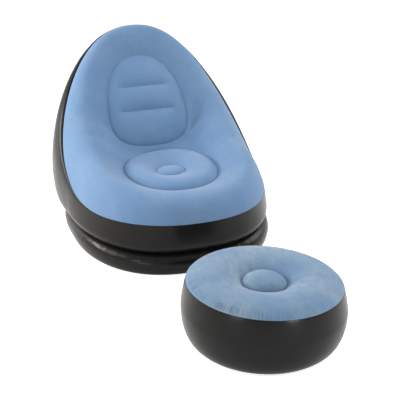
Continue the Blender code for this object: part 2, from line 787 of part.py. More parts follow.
def make_ties(parts, wall):
    low = WAIST_HEIGHT + VINYL_SHEET / 2 + GAP
    high = SEAT_WELD_HEIGHT - DIMPLE_DEPTH - FLOCKED_SHEET - GAP
    tube = open_tube("seat_tie_tube", DIMPLE_RADIUS, high - low, parts, **INNER)
    tube.location = (0, SEAT_CENTRE_Y, low)
    for vert in tube.data.vertices:
        if vert.co.z > (high - low) / 2:
            vert.co.z += dimple_tilt(vert.co)
    low = VINYL_SHEET + GAP
    high = WAIST_HEIGHT - VINYL_SHEET / 2 - GAP
    tube = open_tube("base_tie_tube", DIMPLE_RADIUS, high - low, parts, **INNER)
    tube.location = (0, SEAT_CENTRE_Y, low)

    liner_top = -FLOCKED_SHEET - GAP
    outline = []
    for point in whole_ring(back_rim_plan()):
        outline.append(on_pad_plane(point + point.normalized() * LINER_MARGIN, liner_top))
    liner = add_object("back_liner", flat_sheet(outline), parts, **INNER)
    add_thickness(liner, VINYL_SHEET)

    turn = Matrix((X, PAD_ALONG, PAD_NORMAL)).transposed().to_4x4()
    depsgraph = bpy.context.evaluated_depsgraph_get()
    inside = BVHTree.FromObject(wall, depsgraph)
    for name, place, half in (
        ("lower", LOWER_GROOVE, LOWER_GROOVE_HALF),
        ("upper", UPPER_GROOVE, UPPER_GROOVE_HALF),
    ):
        reach = half * WEB_HALF_SHARE
        heights = [pad_height(reach * share, place, BACK_HALF_WIDTH) for share in spread(0, 1, BACK_COLUMNS)]
        top = min(heights) - FLOCKED_SHEET - GAP
        corner_low = (-reach, -VINYL_SHEET / 2, liner_top + GAP)
        web = block("back_web_" + name, corner_low, (reach, VINYL_SHEET / 2, top), parts, **INNER)
        web.matrix_world = Matrix.Translation(on_pad_plane(Vector((0, place, 0)))) @ turn

        start = on_pad_plane(Vector((0, place, 0)), liner_top - VINYL_SHEET - GAP)
        reaches = []
        for turn_angle in spread(0, 2 * math.pi, TUBE_SIDES):
            edge = (X * math.cos(turn_angle) + PAD_ALONG * math.sin(turn_angle)) * BACK_TIE_RADIUS
            reaches.append(inside.ray_cast(start + edge, -PAD_NORMAL)[3])
        length = min(reaches) - GAP
        tie = open_tube("back_tie_" + name, BACK_TIE_RADIUS, length, parts, **INNER)
        tie.matrix_world = Matrix.Translation(start - PAD_NORMAL * length) @ turn


def stool_radius(height):
    """The footstool wall's radius at a height."""
    if height > STOOL_WIDEST_HEIGHT:
        share = (height - STOOL_WIDEST_HEIGHT) / (STOOL_SEAM_HEIGHT - STOOL_WIDEST_HEIGHT)
        cosine = min(1, share) ** (STOOL_UPPER_POWER / 2)
        swell = math.sqrt(1 - cosine**2) ** (2 / STOOL_UPPER_POWER)
        return STOOL_SEAM_RADIUS + (STOOL_WIDEST_RADIUS - STOOL_SEAM_RADIUS) * swell
    sine = (1 - height / STOOL_WIDEST_HEIGHT) ** (STOOL_LOWER_POWER / 2)
    swell = math.sqrt(1 - sine**2) ** (2 / STOOL_LOWER_POWER)
    return STOOL_FOOT_RADIUS + (STOOL_WIDEST_RADIUS - STOOL_FOOT_RADIUS) * swell


def stool_wall_profile():
    """Radius and height down the footstool's wall, from its seam to its foot."""
    heights = [STOOL_SEAM_HEIGHT * share for share in STOOL_WALL_SHARES]
    profile = [(stool_radius(height), height) for height in heights]
    profile[0] = (profile[0][0], profile[0][1] - RIDGE_BACKSET)
    profile.append((STOOL_FOOT_RADIUS, VINYL_SHEET + GAP))
    return profile


def stool_top_profile():
    """Radius and height across the footstool's top, from the dimple's ring to the seam."""
    seam = Vector((STOOL_SEAM_RADIUS, STOOL_SEAM_HEIGHT))
    ring = Vector((STOOL_DIMPLE_RADIUS, STOOL_DIMPLE_HEIGHT))
    rise = Vector((-STOOL_ROLL_LEAN, STOOL_ROLL_RISE))
    well = Vector((STOOL_WELL_REACH, STOOL_WELL_RISE))
    ends = [ring, ring + well, seam + rise, seam]
    profile = []
    for share in spread(0, 1, STOOL_TOP_ROWS):
        points = ends
        while len(points) > 1:
            points = [a.lerp(b, share) for a, b in zip(points, points[1:])]
        profile.append(points[0])
    profile[0].x += VALLEY_BACKSET
    profile[-1].y += RIDGE_BACKSET
    return [tuple(point) for point in profile]


def stool_ring(radius, height, sides):
    """A ring of the footstool, whose top leans a little."""
    ring = []
    share = min(1, height / STOOL_SEAM_HEIGHT)
    for index in range(sides):
        angle = 2 * math.pi * index / sides
        point = Vector((radius * math.cos(angle), radius * math.sin(angle), height))
        point.z += (STOOL_LEAN_X * point.x + STOOL_LEAN_Y * point.y) * share
        ring.append(point)
    return ring


def stool_sheet(name, profile, sides, thickness, parts, looks):
    rows = [stool_ring(radius, height, sides) for radius, height in profile]
    item = add_object(name, loft(rows, closed=True), parts, **looks)
    add_thickness(item, thickness)
    return item, rows


def make_stool(parts, cutters):
    place = Matrix.Translation((STOOL_PLACE_X, STOOL_PLACE_Y, 0))
    stool = add_empty("stool_slide", parts, place)
    blue = {**FLOCK, "parent": stool}
    black = {**VINYL, "parent": stool}
    grey = {**INNER, "parent": stool}
    profile = list(reversed(stool_top_profile()))
    stool_sheet("stool_top_panel", profile, STOOL_SIDES, FLOCKED_SHEET, parts, blue)
    dome = []
    for share in spread(0, 1, BUTTON_ROWS):
        radius = (STOOL_DIMPLE_RADIUS - VALLEY_BACKSET) * (1 - share)
        rise = STOOL_BUTTON_CROWN * math.sqrt(1 - (1 - share) ** 2)
        dome.append((radius, STOOL_DIMPLE_HEIGHT + rise))
    stool_sheet("stool_button", dome, STOOL_SIDES, FLOCKED_SHEET, parts, blue)
    profile = list(reversed(stool_wall_profile()))
    wall, rows = stool_sheet("stool_side_wall", profile, STOOL_SIDES, VINYL_SHEET, parts, black)
    underside = flat_sheet(stool_ring(STOOL_FOOT_RADIUS, 0, STOOL_SIDES))
    underside.transform(Matrix.Translation(Z * VINYL_SHEET))
    add_thickness(add_object("stool_bottom_sheet", underside, parts, **black), VINYL_SHEET)
    low = VINYL_SHEET + GAP
    high = STOOL_DIMPLE_HEIGHT - FLOCKED_SHEET - GAP
    profile = [(STOOL_DIMPLE_RADIUS, 0), (STOOL_DIMPLE_RADIUS, high)]
    tube, _ = stool_sheet("stool_tie_tube", profile, STOOL_SIDES, VINYL_SHEET, parts, grey)
    for vert in tube.data.vertices:
        vert.co.z = max(vert.co.z, low)
    row, side = STOOL_VALVE_ROW, STOOL_VALVE_SIDE
    frame = facet_frame(rows, side, row)
    hole = as_cutter(valve_hole("stool_valve_hole", frame, cutters, stool))
    add_boolean(wall, hole, "DIFFERENCE")
    make_valve("stool_", frame, parts, cutters, stool)


def main():
    clear_scene()
    parts = new_collection("inflatable_chair")
    cutters = new_collection("cutters")
    make_top_panel(parts)
    make_seat(parts)
    make_back_pad(parts)
    wall, facet = make_walls(parts, cutters)
    make_valve("", facet, parts, cutters)
    make_ties(parts, wall)
    make_stool(parts, cutters)


main()
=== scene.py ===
"""Looks of an inflatable lounge chair and its round footstool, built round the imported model.

The chair faces -Y and stands on z = 0. Its sheets follow the same seams, welds and sections as
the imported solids, with finer steps, puckers at the seams, folds and surface finishes.
"""
import json
import math

import bmesh
import bpy
import numpy as np
from mathutils import Matrix, Quaternion, Vector
from mathutils.kdtree import KDTree


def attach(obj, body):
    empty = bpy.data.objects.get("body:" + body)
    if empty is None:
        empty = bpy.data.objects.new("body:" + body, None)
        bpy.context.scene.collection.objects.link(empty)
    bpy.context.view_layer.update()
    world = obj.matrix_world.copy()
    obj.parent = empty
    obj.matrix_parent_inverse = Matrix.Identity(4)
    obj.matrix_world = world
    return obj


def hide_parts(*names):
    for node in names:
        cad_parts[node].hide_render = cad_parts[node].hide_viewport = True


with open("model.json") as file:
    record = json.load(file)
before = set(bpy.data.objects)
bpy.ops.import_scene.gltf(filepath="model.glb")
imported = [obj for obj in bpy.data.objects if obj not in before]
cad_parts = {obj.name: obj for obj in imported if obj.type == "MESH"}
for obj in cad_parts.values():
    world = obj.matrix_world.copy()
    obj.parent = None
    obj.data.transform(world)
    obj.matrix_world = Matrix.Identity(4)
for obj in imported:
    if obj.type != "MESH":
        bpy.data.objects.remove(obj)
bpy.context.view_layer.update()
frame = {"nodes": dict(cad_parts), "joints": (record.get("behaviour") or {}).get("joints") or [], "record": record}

X = np.array((1.0, 0.0, 0.0))
Z = np.array((0.0, 0.0, 1.0))

# Camera
CAMERA_PLACE = (-1.0175, -3.3611, 1.6648)
CAMERA_HEADING = math.radians(-19.268)
CAMERA_PITCH = math.radians(23.537)
CAMERA_LENS = 73.43
SENSOR_WIDTH = 36

# Sheets
FLOCKED_SHEET = 0.0010
VINYL_SHEET = 0.0005
PANEL_FILL_SHARE = 0.9
MERGE_DISTANCE = 0.00001
EDGE_SHARE = 0.004

# Top seam of the chair: an egg in plan, low in front and high behind
SEAM_WIDTH = 0.895
SEAM_LENGTH = 1.061
SEAM_CENTRE_Y = 0.046
SEAM_POWER = 2.263
SEAM_TAPER = -0.065
SEAM_FRONT_HEIGHT = 0.233
SEAM_BACK_HEIGHT = 0.844
SEAM_RISE_SHARES = (-0.09, -0.30, 1.39)

# Waist between the two tiers
WAIST_WIDTH = 0.897
WAIST_LENGTH = 0.954
WAIST_POWER = 2.593
WAIST_TAPER = -0.115
WAIST_HEIGHT = 0.091
WAIST_GROOVE = 0.038

# Side walls
UPPER_BULGE_BACK = 0.156
UPPER_BULGE_SPREAD = 2.896
UPPER_BULGE_POWER = 0.491
UPPER_BULGE_SKEW_FRONT = 0.60
UPPER_BULGE_SKEW_BACK = 0.893
UPPER_ROLL_HEIGHT = 0.050
BASE_BULGE = 0.009
BASE_INSET = 0.010
UPPER_ROWS = 56
UPPER_ROW_POWER = 1.8
BASE_ROWS = 32

# Roll between the top seam and the pads
ROLL_SHARES = (0.634, 0.951, 0.350)
ROLL_LEANS = (0.147, 0.427, 1.336)
DISH_SHARE = 0.32
DISH_SLOPE = 0.45
THROAT_TURN_SHARE = 0.3
PANEL_ROWS = 44

# Seat pad
SEAT_HALF_WIDTH = 0.206
SEAT_HALF_LENGTH = 0.245
SEAT_POWER = 2.130
SEAT_CENTRE_Y = -0.046
SEAT_WELD_HEIGHT = 0.306
SEAT_CROWN = 0.033
SEAT_CROWN_POWERS = (1.15, 0.75, 0.85)
SEAT_CROWN_SKEW = 0.7
SEAT_TILT = 0.006
SEAT_TILT_ANGLE = 0.15
SEAT_SAG_SHARE = 0.70
SEAT_SAG_ANGLE = -2.62
SEAT_SAG_SPREAD = 0.95
SEAT_ROWS = 40
SEAT_ROW_POWER = 1.3
DIMPLE_RADIUS = 0.066
DIMPLE_DEPTH = 0.005
SEAT_BUTTON_CROWN = 0.020
BUTTON_ROWS = 18
BUTTON_ROW_POWER = 1.6
SEAT_BUTTON_FULLNESS = 2
SEAT_BUTTON_POWER = 0.68

# Back pad
BACK_HALF_WIDTH = 0.187
BACK_HALF_LENGTH = 0.231
BACK_POWER = 2.619
BACK_TAPER = 0.232
BACK_CENTRE_Y = 0.356
BACK_CENTRE_HEIGHT = 0.524
BACK_TILT = math.radians(54.4)
BACK_CROWN = 0.044
BACK_CROWN_POWER = 2.0
BACK_EDGE_POWERS = (0.66, 0.74)
BACK_COLUMNS = 72
BACK_ROW_STEP = 0.003
GROOVE_DEPTH = 0.024
GROOVE_SHOULDER = 0.030
GROOVE_END_POWER = 4
LOWER_GROOVE = -0.057
LOWER_GROOVE_HALF = 0.148
UPPER_GROOVE = 0.067
UPPER_GROOVE_HALF = 0.138

# Stations round the chair
SEAT_STATIONS = 72
THROAT_STATIONS = 16
BACK_STATIONS = 72
THROAT_ARC_STEPS = 28
SEAT_END_ANGLE = 1.70
THROAT_END_ANGLE = 1.90
SEAT_CORNER_ANGLE = 2.368
BACK_CORNER_ANGLE = 0.75
THROAT_CROWN = 0.006
THROAT_SMOOTH_NEAR = 0.10
THROAT_SMOOTH_FAR = 0.26
THROAT_SMOOTH_STEPS = 60

# Fold where the right arm meets the back, from beside the seat pad up to the middle of the wing
FOLD_LOW = (0.112, 0.192, 0.319)
FOLD_HIGH = (0.262, 0.280, 0.477)
FOLD_DEPTH = 0.024
FOLD_ARM_WIDTH = 0.055
FOLD_BACK_WIDTH = 0.040
FOLD_SWELL = 0.014
FOLD_SWELL_WIDTH = 0.035
FOLD_EDGE = 0.002
FOLD_RIM_CLEAR = 0.008
FOLD_RIM_MARGIN = 0.040
FOLD_START_SHARES = (0.0, 0.8)
FOLD_END_SHARES = (0.75, 1.45)
FOLD_REACHES = (0.10, 0.24)

# Footstool
STOOL_PLACE = (0.058, -0.993, 0.0)
STOOL_SEAM_RADIUS = 0.287
STOOL_SEAM_HEIGHT = 0.218
STOOL_WIDEST_RADIUS = 0.306
STOOL_WIDEST_HEIGHT = 0.125
STOOL_FOOT_RADIUS = 0.258
STOOL_UPPER_POWER = 1.201
STOOL_LOWER_POWER = 2.130
STOOL_LEAN_X = -0.045
STOOL_LEAN_Y = -0.019
STOOL_ROLL_RISE = 0.046
STOOL_ROLL_LEAN = 0.040
STOOL_WELL_REACH = 0.044
STOOL_WELL_RISE = 0.054
STOOL_DIMPLE_RADIUS = 0.083
STOOL_DIMPLE_HEIGHT = 0.207
STOOL_BUTTON_CROWN = 0.039
STOOL_BUTTON_FULLNESS = 2.5
STOOL_BUTTON_POWER = 0.66
STOOL_TOP_ROWS = 64
STOOL_WALL_ROWS = 48
STOOL_SIDES = 720

# Puckers where a sheet is gathered at its seam
STOOL_PUCKER_HEIGHT = 0.0015
STOOL_PUCKER_REACH = 0.012
STOOL_PUCKER_WIDTH = 0.008
STOOL_PUCKER_SIDE = math.radians(-138)
STOOL_PUCKER_SPREAD = math.radians(54)
STOOL_PUCKER_SIDE_POWER = 4
STOOL_PUCKER_REST_SHARE = 0.25
STOOL_PUCKER_PATCHES = 9
STOOL_PATCH_SHARES = (-4.5, 0.9)
PUCKER_SEED = 3
PATCH_SEED = 8
WALL_FOLD_HEIGHT = 0.0009
WALL_FOLD_REACH = 0.014
WALL_FOLD_WIDTH = 0.030
UPPER_WALL_SEED = 11
BASE_WALL_SEED = 12

# Air valve, alike on the chair and on the footstool; heights are above the wall's face
VALVE_FLAT_RADIUS = 0.030
VALVE_FADE_RADIUS = 0.085
VALVE_SIDES = 96
VALVE_ROUNDING = 0.0004
ROUND_SHARE = 0.5
CORNER_SHARE = 0.4
HOLE_CLEARANCE = 0.0003
SHEET_GAP = 0.0003
FLANGE_RADIUS = 0.026
FLANGE_LOW = 0.0009
FLANGE_HIGH = 0.0021
NECK_RADIUS = 0.0170
NECK_BORE = 0.0155
NECK_DEPTH = 0.014
NECK_LIP = 0.0041
PLUG_RIM_RADIUS = 0.0195
PLUG_RIM_LOW = 0.0044
PLUG_RIM_HIGH = 0.0064
PLUG_RADIUS = 0.0152
PLUG_BORE = 0.0100
PLUG_DEPTH = 0.016
TONGUE_LENGTH = 0.0035
TONGUE_WIDTH = 0.0070
CAP_RADIUS = 0.0135
CAP_LOW = 0.0067
CAP_HIGH = 0.0092
STUB_TOP_RADIUS = 0.0097
STUB_END_RADIUS = 0.0094
STUB_DEPTH = 0.0032
STRAP_WIDTH = 0.0060
STRAP_THICKNESS = 0.0012
HINGE_PLACE = 0.0205
FLAP_RADIUS = 0.0122
FLAP_THICKNESS = 0.0008

# Surface finishes: noise scales in features to the metre, bump depths, and strengths as shares
CLOUD_SCALE = 7
BRUSH_SCALE = 38
BRUSH_STRETCH = (1, 0.6, 1)
BRUSH_ROUGH_SHARE = 0.65
NAP_SCALE = 900
TUFT_SCALE = 60
GLOSS_SCALE = 14
SHEET_WAVE_SCALE = 9
SHEET_GRAIN_SCALE = 420
MOULD_GRAIN_SCALE = 500
NAP_DEPTH = 0.0006
NAP_SHARE = 0.5
TUFT_DEPTH = 0.0010
TUFT_SHARE = 0.25
SHEET_WAVE_DEPTH = 0.004
SHEET_WAVE_SHARE = 0.25
SHEET_GRAIN_DEPTH = 0.0003
SHEET_GRAIN_SHARE = 0.2
MOULD_GRAIN_DEPTH = 0.0002
MOULD_GRAIN_SHARE = 0.3
CLOUD_SHARES = (0.35, 0.65)
BRUSH_SHARES = (0.48, 0.80)
GLOSS_SHARES = (-0.05, 0.07)

# Floor and light
FLOOR_HALF = 12
FLOOR_PAINT = (0.8, 0.8, 0.8)
FLOOR_GLOW = 0.75
WORLD_FRONT = 0.10
WORLD_BACK = 0.75
MIDDLE = (0, -0.2, 0.3)
LOWER_TIER = (-0.4, -0.2, 0.08)
WHITE = (1, 1, 1)
WARM = (1, 0.92, 0.84)
MILD = (1, 0.95, 0.90)
STRIP_ROLL = math.radians(-32)

# Each soft light: place, what it points at, size, power, colour and roll
LIGHTS = {
    "left_softbox": ((-3.0, 0.2, 1.8), MIDDLE, (1.8, 1.6), 49, (1, 0.92, 0.83), 0),
    "top_softbox": ((0.2, 0.8, 3.4), MIDDLE, (2.6, 2.0), 51, WHITE, 0),
    "right_softbox": ((2.8, 0.2, 1.6), MIDDLE, (1.6, 1.6), 34, WARM, 0),
    "left_strip": ((-2.28, 1.05, 1.32), LOWER_TIER, (1.0, 0.38), 42, (1, 0.92, 0.82), STRIP_ROLL),
    "back_left_softbox": ((-2.4, 2.6, 0.8), MIDDLE, (0.8, 1.2), 7, WHITE, 0),
    "front_left_umbrella": ((-2.55, -2.0, 1.2), MIDDLE, (0.5, 0.5), 11, (1, 0.93, 0.86), 0),
    "low_umbrella": ((-2.3, -2.5, 0.35), MIDDLE, (0.8, 0.4), 9, WHITE, 0),
    "front_right_umbrella": ((0.8, -3.8, 0.5), MIDDLE, (0.6, 0.6), 23, MILD, 0),
    "right_umbrella": ((2.2, -2.2, 1.5), MIDDLE, (0.8, 0.8), 26, MILD, 0),
}

PAD_ALONG = np.array((0, math.cos(BACK_TILT), math.sin(BACK_TILT)))
PAD_NORMAL = np.array((0, -math.sin(BACK_TILT), math.cos(BACK_TILT)))
PAD_CENTRE = np.array((0, BACK_CENTRE_Y, BACK_CENTRE_HEIGHT))
SEAT_CORNER = np.array([SEAT_CORNER_ANGLE])
BACK_CORNER = np.array([BACK_CORNER_ANGLE])


def spread(first, last, steps):
    return np.linspace(first, last, steps + 1)


def edged(first, last, steps):
    """Evenly spread shares with one more close to each end, so that a sheet's rim stays crisp."""
    near = (last - first) * EDGE_SHARE
    return np.sort(np.concatenate((spread(first, last, steps), (first + near, last - near))))


def unit(vectors):
    return vectors / np.linalg.norm(vectors, axis=-1, keepdims=True)


def signed_power(value, power):
    return np.sign(value) * np.abs(value) ** power


def smooth_step(value, low, high):
    share = np.clip((value - low) / (high - low), 0, 1)
    return share * share * (3 - 2 * share)


def turn_between(angles, middle):
    """How far round each angle lies from a middle one, either way: 0 to pi."""
    return np.abs((angles - middle + math.pi) % (2 * math.pi) - math.pi)


def bezier(points, share):
    """A point on the curve whose control points are given; the share may be an array of rows."""
    while len(points) > 1:
        points = [a + (b - a) * share for a, b in zip(points, points[1:])]
    return points[0]


def mirrored(points):
    return points * np.array((-1, 1, 1))


def whole_ring(half):
    """The full ring of a right-hand half that starts and ends on the middle plane."""
    return np.concatenate((half, mirrored(half[-2:0:-1])))


def egg(angle, width, length, centre_y, power, taper):
    """Points of an egg in plan; the angle is 0 in front and pi at the back."""
    x = width / 2 * signed_power(np.sin(angle), 2 / power) * (1 + taper * np.cos(angle))
    y = centre_y - length / 2 * signed_power(np.cos(angle), 2 / power)
    return np.stack((x, y, np.zeros_like(x)), axis=-1)


def seam_plan(angle):
    return egg(angle, SEAM_WIDTH, SEAM_LENGTH, SEAM_CENTRE_Y, SEAM_POWER, SEAM_TAPER)


def waist_plan(angle):
    return egg(angle, WAIST_WIDTH, WAIST_LENGTH, 0, WAIST_POWER, WAIST_TAPER)


def seam_point(angle):
    points = seam_plan(angle)
    share = (points[..., 1] - SEAM_CENTRE_Y) / SEAM_LENGTH + 1 / 2
    rise = sum(part * share ** (order + 1) for order, part in enumerate(SEAM_RISE_SHARES))
    points[..., 2] = SEAM_FRONT_HEIGHT + (SEAM_BACK_HEIGHT - SEAM_FRONT_HEIGHT) * rise
    return points


def outward(plan, angle):
    """The level direction that points out of a plan outline."""
    step = math.radians(1)
    along = plan(angle + step) - plan(angle - step)
    return unit(np.stack((along[..., 1], -along[..., 0], np.zeros_like(angle)), axis=-1))


def back_share(angle):
    return (1 - np.cos(angle)) / 2


def round_the_chair(angle, values):
    """A value given in front, at the sides and at the back, blended between them."""
    front, side, back = values
    turn = np.cos(angle)
    return front * turn * (turn + 1) / 2 + side * (1 - turn**2) + back * turn * (turn - 1) / 2


def upper_wall(angle, share):
    """A ring of the upper wall; the share runs from the waist to the top seam."""
    low = waist_plan(angle) + Z * WAIST_HEIGHT
    change = UPPER_BULGE_SKEW_BACK - UPPER_BULGE_SKEW_FRONT
    skew = UPPER_BULGE_SKEW_FRONT + change * back_share(angle)
    swell = np.maximum(0, np.sin(np.pi * share**skew)) ** UPPER_BULGE_POWER
    bulge = UPPER_BULGE_BACK * back_share(angle) ** UPPER_BULGE_SPREAD * swell
    chord = low + (seam_point(angle) - low) * share
    under = np.clip(1 - (chord[..., 2] - WAIST_HEIGHT) / UPPER_ROLL_HEIGHT, 0, 1)
    inset = WAIST_GROOVE * (1 - np.sqrt(1 - under**2))
    out = outward(seam_plan, angle) * bulge[..., None]
    return chord + out - outward(waist_plan, angle) * inset[..., None]


def base_wall(angle, share):
    """A ring of the lower wall; the share runs from the floor to the waist."""
    turn = math.pi * (share - 1 / 2)
    inset = BASE_INSET if turn < 0 else WAIST_GROOVE
    out = (BASE_BULGE + inset) * math.cos(turn) - inset
    lift = Z * WAIST_HEIGHT * (1 + math.sin(turn)) / 2
    return waist_plan(angle) + outward(waist_plan, angle) * out + lift


def seat_weld(angle):
    outline = egg(angle, 2 * SEAT_HALF_WIDTH, 2 * SEAT_HALF_LENGTH, SEAT_CENTRE_Y, SEAT_POWER, 0)
    return outline + Z * SEAT_WELD_HEIGHT


def back_plan(angle):
    """The back pad's outline flat: its width along x, its length along y, from its foot up."""
    return egg(angle, 2 * BACK_HALF_WIDTH, 2 * BACK_HALF_LENGTH, 0, BACK_POWER, BACK_TAPER)


def on_pad_plane(flat, height=0):
    height = np.asarray(height)[..., None]
    return PAD_CENTRE + X * flat[..., :1] + PAD_ALONG * flat[..., 1:2] + PAD_NORMAL * height


def back_weld(angle):
    return on_pad_plane(back_plan(angle))


def seat_direction(angle):
    away = outward(seat_weld, angle)
    away[..., 1] *= np.where(away[..., 1] > 0, THROAT_TURN_SHARE, 1)
    return unit(unit(away) + Z * DISH_SLOPE)


def back_direction(angle):
    flat = outward(back_plan, angle)
    flat[..., 1] *= np.where(flat[..., 1] < 0, THROAT_TURN_SHARE, 1)
    flat = unit(flat)
    return unit(X * flat[..., :1] + PAD_ALONG * flat[..., 1:2] + PAD_NORMAL * DISH_SLOPE)


def throat_points(share, seat_angle, back_angle):
    """Points of the strip between the pads, on curves from the seat pad to the back pad."""
    low = seat_weld(seat_angle)
    high = back_weld(back_angle)
    bend = high - PAD_ALONG * ((high[..., 2:] - low[..., 2:]) / PAD_ALONG[2])
    curve = bezier([low, bend, high], share)
    return curve + unit(Z + PAD_NORMAL) * THROAT_CROWN * 4 * share * (1 - share)


def make_stations():
    """Seam angles, weld points and weld directions of the roll's right half."""
    angles = spread(0, SEAT_CORNER_ANGLE, SEAT_STATIONS)
    parts = [(spread(0, SEAT_END_ANGLE, SEAT_STATIONS), seat_weld(angles), seat_direction(angles))]
    shares = spread(0, 1, THROAT_STATIONS)[1:-1]
    corner = throat_points(shares[:, None], SEAT_CORNER, BACK_CORNER)
    first = seat_direction(SEAT_CORNER)
    last = back_direction(BACK_CORNER)
    between = unit(first + (last - first) * shares[:, None])
    middle = spread(SEAT_END_ANGLE, THROAT_END_ANGLE, THROAT_STATIONS)[1:-1]
    parts.append((middle, corner, between))
    angles = spread(BACK_CORNER_ANGLE, math.pi, BACK_STATIONS)
    high = spread(THROAT_END_ANGLE, math.pi, BACK_STATIONS)
    parts.append((high, back_weld(angles), back_direction(angles)))
    return [np.concatenate(found) for found in zip(*parts)]


SEAM_ANGLES, WELDS, WELD_DIRECTIONS = make_stations()


def roll_ring(share):
    """A ring of the roll, from the seam at 0 to the pads' welds at 1."""
    seam = seam_point(SEAM_ANGLES)
    reach = np.linalg.norm(WELDS - seam, axis=-1, keepdims=True)
    lean = round_the_chair(SEAM_ANGLES, ROLL_LEANS)[:, None]
    start = unit(Z - outward(seam_plan, SEAM_ANGLES) * lean)
    start = start * reach * round_the_chair(SEAM_ANGLES, ROLL_SHARES)[:, None]
    end = WELDS + WELD_DIRECTIONS * reach * DISH_SHARE
    return whole_ring(bezier([seam, seam + start, end, WELDS], share))


def new_mesh(name, grids, blocks=()):
    """One mesh from grids of points, each with whether its rows are rings, and from blocks."""
    shape = bmesh.new()
    for grid, closed in grids:
        rows = [[shape.verts.new(point) for point in row] for row in grid]
        count = len(rows[0]) if closed else len(rows[0]) - 1
        for lower, upper in zip(rows, rows[1:]):
            for index in range(count):
                following = (index + 1) % len(lower)
                shape.faces.new((lower[index], lower[following], upper[following], upper[index]))
    bmesh.ops.remove_doubles(shape, verts=shape.verts, dist=MERGE_DISTANCE)
    bmesh.ops.dissolve_degenerate(shape, edges=shape.edges, dist=MERGE_DISTANCE)
    for place, low, high in blocks:
        size = Vector(high) - Vector(low)
        middle = (Vector(high) + Vector(low)) / 2
        matrix = place @ Matrix.Translation(middle) @ Matrix.Diagonal((*size, 1))
        corners = bmesh.ops.create_cube(shape, size=1, matrix=matrix)["verts"]
        edges = list({edge for corner in corners for edge in corner.link_edges})
        bmesh.ops.bevel(
            shape, geom=edges, offset=VALVE_ROUNDING, segments=3, profile=ROUND_SHARE, affect="EDGES"
        )
    mesh = bpy.data.meshes.new(name)
    shape.to_mesh(mesh)
    shape.free()
    mesh.shade_smooth()
    return mesh


def pierce(item, valve):
    """Cuts a round hole for a valve's neck through a wall."""
    reach = NECK_RADIUS
    radius = NECK_RADIUS + HOLE_CLEARANCE
    profile = [(0, -reach), (radius, -reach), (radius, reach), (0, reach)]
    mesh = turned("hole", valve, profile, False, soft=False)
    cutter = bpy.data.objects.new("hole", mesh)
    bpy.context.scene.collection.objects.link(cutter)
    boolean = item.modifiers.new("hole", "BOOLEAN")
    boolean.object = cutter
    boolean.operation = "DIFFERENCE"
    depsgraph = bpy.context.evaluated_depsgraph_get()
    whole = item.data
    item.data = bpy.data.meshes.new_from_object(item.evaluated_get(depsgraph), depsgraph=depsgraph)
    item.modifiers.clear()
    bpy.data.meshes.remove(whole)
    bpy.data.objects.remove(cutter, do_unlink=True)
    bpy.data.meshes.remove(mesh)


def add_piece(name, mesh, body, node, slot, material, thickness=0, fill=None, valve=None):
    """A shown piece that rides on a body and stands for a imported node."""
    item = bpy.data.objects.new(name, mesh)
    bpy.context.scene.collection.objects.link(item)
    mesh.materials.append(material)
    if thickness:
        solidify = item.modifiers.new("sheet", "SOLIDIFY")
        solidify.thickness = thickness
        solidify.offset = -1
        solidify.use_even_offset = True
    if valve is not None:
        pierce(item, valve)
    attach(item, body)
    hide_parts(node)
    return item


def wave(length, width, seed):
    """A smooth random ripple round a closed line: values about -1 to 1 for a share of its length."""
    random = np.random.default_rng(seed)
    count = max(3, round(length / width))
    orders = np.arange(count // 2, count + count // 2)
    phases = random.uniform(0, 2 * math.pi, len(orders))
    weights = random.uniform(0, 1, len(orders))
    scale = math.sqrt(2 / np.sum(weights**2))

    def value(share):
        turns = 2 * math.pi * np.outer(share, orders) + phases
        return (np.cos(turns) * weights).sum(-1) * scale

    return value


def mesh_points(mesh):
    points = np.empty(len(mesh.vertices) * 3)
    mesh.vertices.foreach_get("co", points)
    return points.reshape(-1, 3)


def set_mesh_points(mesh, points):
    mesh.vertices.foreach_set("co", points.ravel())
    mesh.update()


def relax(mesh, weights, steps):
    """Draws each point toward its neighbours by its own weight; the mesh's rim stays."""
    edges = np.empty(len(mesh.edges) * 2, dtype=int)
    mesh.edges.foreach_get("vertices", edges)
    edges = edges.reshape(-1, 2)
    ends = np.concatenate((edges, edges[:, ::-1]))
    counts = np.bincount(ends[:, 0], minlength=len(mesh.vertices))[:, None]
    points = mesh_points(mesh)
    for _ in range(steps):
        near = points[ends[:, 1]]
        sums = [np.bincount(ends[:, 0], near[:, axis], len(points)) for axis in range(3)]
        sums = np.stack(sums, axis=1)
        points += (sums / counts - points) * weights[:, None] / 2
    set_mesh_points(mesh, points)


def mesh_normals(mesh):
    normals = np.empty(len(mesh.vertices) * 3)
    mesh.vertices.foreach_get("normal", normals)
    return normals.reshape(-1, 3)


def rim_mask(mesh):
    shape = bmesh.new()
    shape.from_mesh(mesh)
    mask = np.array([vert.is_boundary for vert in shape.verts])
    shape.free()
    return mask


def link(tree, start, end):
    tree.links.new(start, end)


def new_material(name, colour, roughness):
    material = bpy.data.materials.new(name)
    material.use_nodes = True
    shader = material.node_tree.nodes["Principled BSDF"]
    shader.inputs["Base Color"].default_value = (*colour, 1)
    shader.inputs["Roughness"].default_value = roughness
    return material, material.node_tree, shader


def noise(tree, scale, detail, roughness=0.5, stretch=None):
    """A noise node in the piece's own space; returns its value socket."""
    texture = tree.nodes.new("ShaderNodeTexNoise")
    texture.inputs["Scale"].default_value = scale
    texture.inputs["Detail"].default_value = detail
    texture.inputs["Roughness"].default_value = roughness
    place = tree.nodes.new("ShaderNodeTexCoord")
    source = place.outputs["Object"]
    if stretch:
        mapping = tree.nodes.new("ShaderNodeMapping")
        mapping.inputs["Scale"].default_value = stretch
        link(tree, source, mapping.inputs["Vector"])
        source = mapping.outputs["Vector"]
    link(tree, source, texture.inputs["Vector"])
    return texture.outputs["Fac"]


